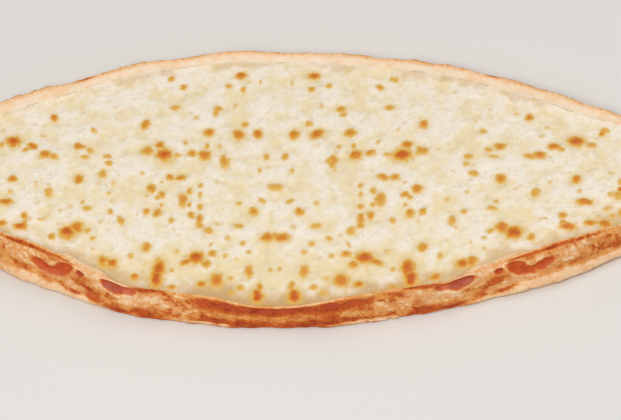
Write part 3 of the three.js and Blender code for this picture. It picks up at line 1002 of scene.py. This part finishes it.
def make_crust_material():
    material, tree, shader = start_material(
        "baked_dough", Subsurface_Weight=0.08, Subsurface_Radius=(1.0, 0.5, 0.25),
        Subsurface_Scale=0.002, Specular_IOR_Level=0.28)
    heat, skin = attribute(tree, "toast"), attribute(tree, "skin")
    flour, crumb = attribute(tree, "flour"), attribute(tree, "crumb")
    grain = use_group(tree, fine_crumb, Size=1.1, Pitted=0.35)
    speckle = around_zero(tree, grain["Grain"], 0.6)
    # the fine pits brown darker here, a painted shade in them
    pits = maths(tree, "MULTIPLY", grain["Pits"], ramp(tree, crumb, 0.1, 0.6))
    drift = maths(tree, "ADD", around_zero(tree, grain["Mottle"], 0.45), maths(tree, "MULTIPLY", pits, 0.6))
    uneven = maths(tree, "ADD", speckle, drift)
    uneven = maths(tree, "MULTIPLY", uneven, maths(tree, "SUBTRACT", 1.15, skin))
    burnt = maths(tree, "ADD", heat, uneven)

    dough = use_group(tree, browning, Heat=burnt, Raw=linear(249, 209, 164), Golden=linear(230, 157, 80),
                      Brown=linear(200, 94, 26), Dark=linear(158, 48, 8))
    blister = use_group(tree, browning, Heat=burnt, Raw=linear(236, 162, 98), Golden=linear(226, 130, 58),
                        Brown=linear(203, 84, 24), Dark=linear(180, 70, 36))
    colour = blend(tree, skin, dough["Color"], blister["Color"])
    dusted = maths(tree, "MULTIPLY", flour, ramp(tree, grain["Mottle"], 0.2, 0.6))
    colour = blend(tree, maths(tree, "MULTIPLY", dusted, 0.8), colour, FLOUR_WHITE)
    rough = maths(tree, "SUBTRACT", 0.66, maths(tree, "MULTIPLY", skin, 0.16))
    rough = maths(tree, "ADD", rough, maths(tree, "MULTIPLY", speckle, 0.4))

    depth = maths(tree, "MULTIPLY", grain["Height"], maths(tree, "SUBTRACT", 1.1, skin))
    depth = maths(tree, "ADD", depth, maths(tree, "MULTIPLY", crumb, 0.2))
    bump = add(tree, "ShaderNodeBump", Strength=0.4, Distance=0.6 * MM, Height=depth)
    fill(tree, shader, Base_Color=colour, Roughness=rough, Normal=bump.outputs["Normal"])
    return material


crust.data.materials.append(make_crust_material())
print("crust material:", crust.data.materials[0].name)

# %% [markdown]
# Melted cheese is nearly white with creamier and more see-through patches, softly greasy, and lets some
# light in. The bubbles take the browning group with brighter, more golden colours than dough has.

# %% The cheese material
CREAM = linear(243, 224, 180)
MILKY_WHITE = linear(249, 239, 224)
# greyish cream for greasy patches and for the painted shade in pinholes
OILY_AND_SHADED_CREAM = linear(224, 211, 180)
SPECK_CREAM = linear(238, 224, 194)
# tan along the dough: partly browned cheese, partly painted shade from the rim
RIND_AND_SHADE_TAN = linear(209, 173, 121)
# olive-grey of the painted crease shadow along the far rim
CREASE_SHADE_OLIVE = linear(186, 166, 128)


def make_cheese_material():
    material, tree, shader = start_material(
        "melted_mild_cheese", Subsurface_Weight=0.15, Subsurface_Radius=(1.0, 0.8, 0.5),
        Subsurface_Scale=0.0025)
    heat, milk, oil_and_pit_shade = attribute(tree, "toast"), attribute(tree, "milk"), attribute(tree, "oil_and_pit_shade")
    grain = use_group(tree, fine_crumb, Size=1.3, Pitted=0.25)
    patch = maths(tree, "ADD", milk, around_zero(tree, grain["Mottle"], 0.7))
    base = blend(tree, ramp(tree, patch, 0.15, 0.85), CREAM, MILKY_WHITE)
    # greasy patches and the painted pinhole shade
    base = blend(tree, maths(tree, "MULTIPLY", oil_and_pit_shade, 0.8), base, OILY_AND_SHADED_CREAM)
    base = blend(tree, ramp(tree, grain["Height"], 0.25, 0.5), SPECK_CREAM, base)
    # the rind blend paints the rim's shade onto the cheese along with its browning
    base = blend(tree, attribute(tree, "rind_and_shade"), base, RIND_AND_SHADE_TAN)
    margin = attribute(tree, "margin")
    # a thin painted crease shadow at a set distance from the far rim
    crease_shade = maths(tree, "MULTIPLY", ramp(tree, margin, 1.0, 1.3), ramp(tree, margin, 2.2, 1.6))
    crease_shade = maths(tree, "MULTIPLY", crease_shade, attribute(tree, "crease_shade"))
    base = blend(tree, maths(tree, "MULTIPLY", crease_shade, 0.55), base, CREASE_SHADE_OLIVE)

    uneven = around_zero(tree, grain["Grain"], 0.5)
    toasted = maths(tree, "ADD", heat, maths(tree, "MULTIPLY", uneven, ramp(tree, heat, 0.02, 0.3)))
    bubble = use_group(tree, browning, Heat=toasted, Raw=base, Golden=linear(228, 182, 84),
                       Brown=linear(220, 139, 32), Dark=linear(202, 92, 6))
    rough = maths(tree, "SUBTRACT", 0.4, maths(tree, "MULTIPLY", oil_and_pit_shade, 0.12))
    bump = add(tree, "ShaderNodeBump", Strength=0.2, Distance=0.5 * MM, Height=grain["Height"])
    fill(tree, shader, Base_Color=bubble["Color"], Roughness=rough, Normal=bump.outputs["Normal"])
    return material


cheese.data.materials.append(make_cheese_material())
print("cheese material:", cheese.data.materials[0].name)

# %% [markdown]
# The pieces stand for the CAD solids, which stay behind them for collision.

# %% Tie the pieces to the frame
for piece, node in ((crust, "crust"), (cheese, "cheese")):
    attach(piece, "root")
    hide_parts(node)
print("pieces tied:", crust.name, cheese.name)

# %% [markdown]
# A food photograph is lit softly from above and a little from the front, so that the crust's face shows
# its colours. A long lens keeps the bread's two sides nearly parallel, and it looks down at 54 degrees.

# %% Floor, lights and camera
# in metres: how wide a view of the bread is, where it is centred, and half the floor's width
VIEW_WIDTH = 0.2915
AIM = Vector((0.0008, -0.0087, 0))
FLOOR_REACH = 4
LENS = 600
SENSOR = 36
ELEVATION = math.radians(54)


def make_light(name, place, size, power, colour):
    data = bpy.data.lights.new(name, "AREA")
    data.shape = "DISK"
    data.size = size
    data.energy = power
    data.color = colour
    light = bpy.data.objects.new(name, data)
    light.location = place
    light.rotation_euler = (AIM - Vector(place)).to_track_quat("-Z", "Y").to_euler()
    bpy.context.scene.collection.objects.link(light)
    return light


def make_camera():
    data = bpy.data.cameras.new("camera")
    data.lens = LENS
    data.sensor_width = SENSOR
    camera = bpy.data.objects.new("camera", data)
    distance = VIEW_WIDTH * LENS / SENSOR
    camera.location = AIM + distance * Vector((0, -math.cos(ELEVATION), math.sin(ELEVATION)))
    camera.rotation_euler = (math.pi / 2 - ELEVATION, 0, 0)
    bpy.context.scene.collection.objects.link(camera)
    return camera


floor_bm = bmesh.new()
bmesh.ops.create_grid(floor_bm, x_segments=1, y_segments=1, size=FLOOR_REACH / MM)
floor = finish_piece(floor_bm, "floor", Vector((0, 0, 0)))
floor_material = start_material("pale_floor", Base_Color=(0.8, 0.79, 0.77, 1), Roughness=0.7)[0]
floor.data.materials.append(floor_material)

make_light("key", (-0.25, -0.8, 1.3), size=0.6, power=12.5, colour=(1, 0.98, 0.95))
make_light("fill", (0.6, 0.5, 1.1), size=0.8, power=3, colour=(1, 0.98, 0.96))
bpy.context.scene.camera = make_camera()
world = bpy.data.worlds.new("soft_room")
world.use_nodes = True
fill(world.node_tree, world.node_tree.nodes["Background"], Color=(1, 0.99, 0.97, 1), Strength=0.39)
bpy.context.scene.world = world
bpy.context.scene.view_settings.view_transform = "Standard"
print("camera at", [round(v, 3) for v in bpy.context.scene.camera.location])
